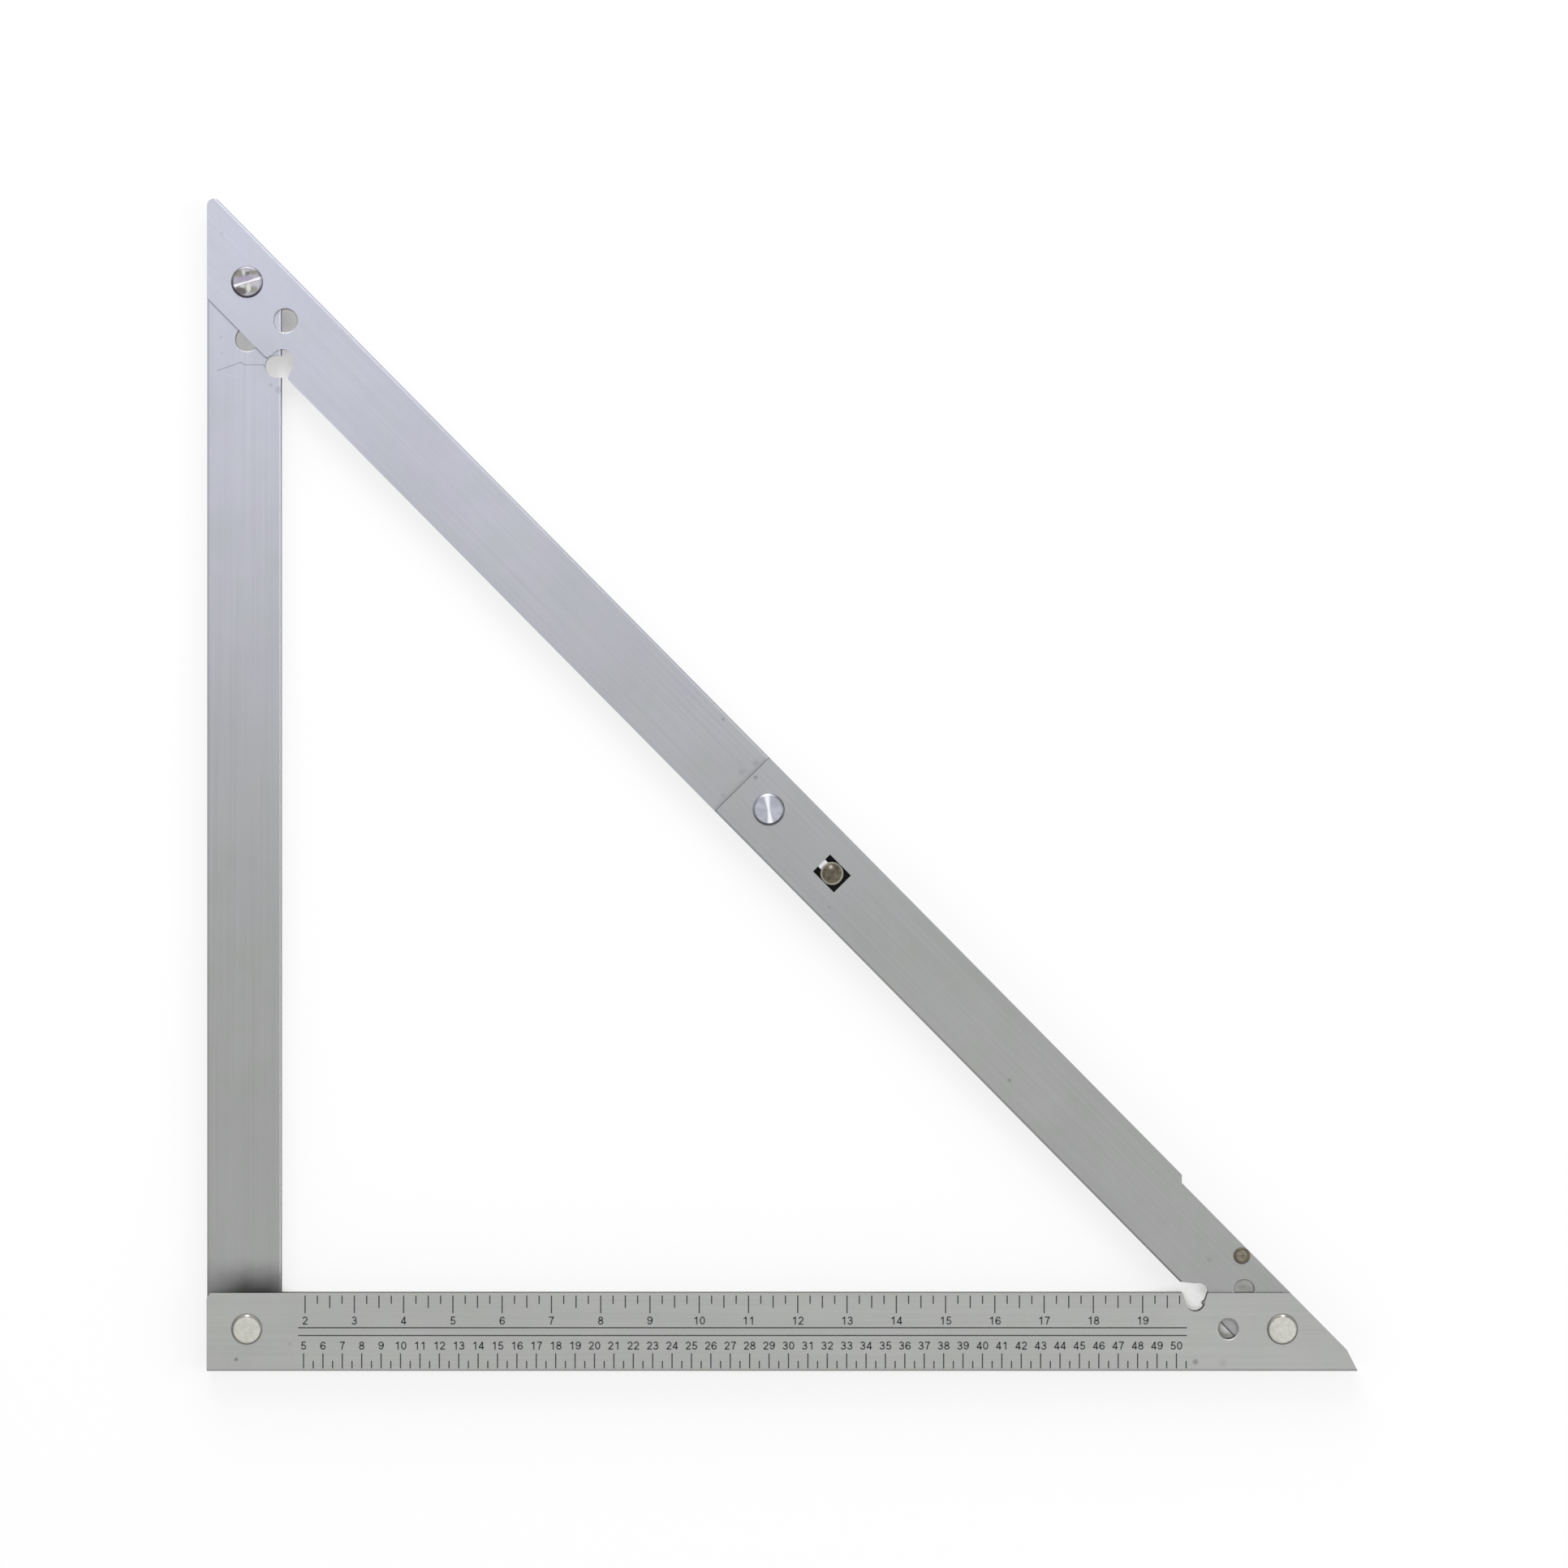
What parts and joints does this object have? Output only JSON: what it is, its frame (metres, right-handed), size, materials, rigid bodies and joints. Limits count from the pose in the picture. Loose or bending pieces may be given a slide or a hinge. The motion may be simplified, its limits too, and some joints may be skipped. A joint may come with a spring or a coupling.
{
  "type": "folding framing square",
  "caption": "Large folding square: a right triangle of nested aluminium channels that locks open for marking and folds flat into its base leg.",
  "frame": {"origin": "outer corner of the square, where the base leg's outer edge meets the upright leg's outer edge, halfway through the thickness", "axes": "+X along the base leg towards its tip, +Y along the upright leg, +Z out of the front face with the printed scales"},
  "size_m": [0.5935, 0.6048, 0.023],
  "materials": {
    "leg_aluminium": "satin anodised, printed scales",
    "upright_aluminium": "satin anodised, faint lengthwise brushing",
    "brace_aluminium": "satin anodised",
    "flat_rivet": "pale satin face with a chamfer",
    "turned_rivet": "bright turned face",
    "plated_steel": "zinc plated",
    "bush_brass": "machined",
    "spring_steel": "bright spring steel",
    "button_steel": "dull turned steel"
  },
  "bodies": {
    "base": {"base_leg": "leg_aluminium", "corner_rivet_front": "flat_rivet", "corner_rivet_back": "flat_rivet", "corner_spacer_front": "plated_steel", "corner_spacer_back": "plated_steel", "tip_rivet_front": "flat_rivet", "tip_rivet_back": "flat_rivet", "tip_washer_front": "plated_steel", "tip_washer_back": "plated_steel"},
    "lower": {"lower_brace": "brace_aluminium", "middle_rivet_front": "turned_rivet", "middle_rivet_back": "turned_rivet", "middle_washer_front": "plated_steel", "middle_washer_back": "plated_steel", "brace_studs": "button_steel"},
    "upper": {"upper_brace": "brace_aluminium", "top_rivet": "turned_rivet", "lock_spring": "spring_steel", "lock_spring_rivets": "plated_steel"},
    "upright": {"upright_leg": "upright_aluminium", "corner_bush": "bush_brass", "top_bush": "bush_brass"},
    "button": {"lock_button": "button_steel"}
  },
  "joints": [
    {"name": "tip_pivot", "type": "hinge", "parent": "base", "child": "lower", "pos_m": [0.5547, 0.0217, 0], "axis": [0, 0, 1], "range_deg": [0, 45.32]},
    {"name": "brace_fold", "type": "hinge", "parent": "lower", "child": "upper", "pos_m": [0.28981, 0.28957, 0], "axis": [0, 0, 1], "range_deg": [-180, 0]},
    {"name": "top_pivot", "type": "hinge", "parent": "upper", "child": "upright", "pos_m": [0.0207, 0.5617, 0], "axis": [0, 0, 1], "range_deg": [0, 44.68]},
    {"name": "lock_travel", "type": "slide", "parent": "upper", "child": "button", "axis": [0, 0, 1], "range_m": [0, 0.0012], "stiffness_N_per_m": 1500, "springref_m": 0.003, "deforming": ["lock_spring"]}
  ],
  "couplings": [
    {"joint": "tip_pivot", "follows": "brace_fold", "ratio": -0.25178},
    {"joint": "top_pivot", "follows": "brace_fold", "ratio": -0.24822}
  ]
}
